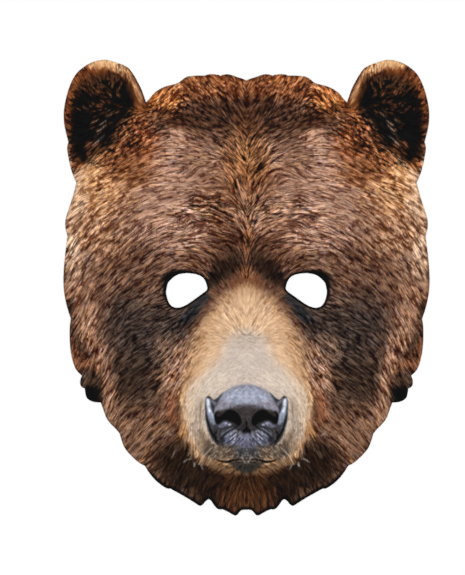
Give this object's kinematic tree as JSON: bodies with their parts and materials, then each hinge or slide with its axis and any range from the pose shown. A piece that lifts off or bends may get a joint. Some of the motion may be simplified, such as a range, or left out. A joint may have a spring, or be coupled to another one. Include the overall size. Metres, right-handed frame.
{
  "type": "printed card animal face mask",
  "caption": "Flat die-cut card mask of a bear's face and ears, printed on its front, with two eye holes to look through.",
  "frame": {"origin": "centre of the bounding box's bottom: on the sheet's plain back face, midway between its left and right edges and midway between the ears' tops and the chin's tufts", "axes": "+Z out of the printed face, which looks up as the mask lies on its back; +Y towards the ears; +X towards the viewer's right; XZ is not a mirror plane, YZ is"},
  "size_m": [0.205, 0.255, 0.0005],
  "materials": {
    "printed_card": "white card with a brown bear's face printed on its front under a satin coat, bare on its back and cut edge"
  },
  "bodies": {
    "root": {"mask_card": "printed_card"}
  },
  "joints": []
}
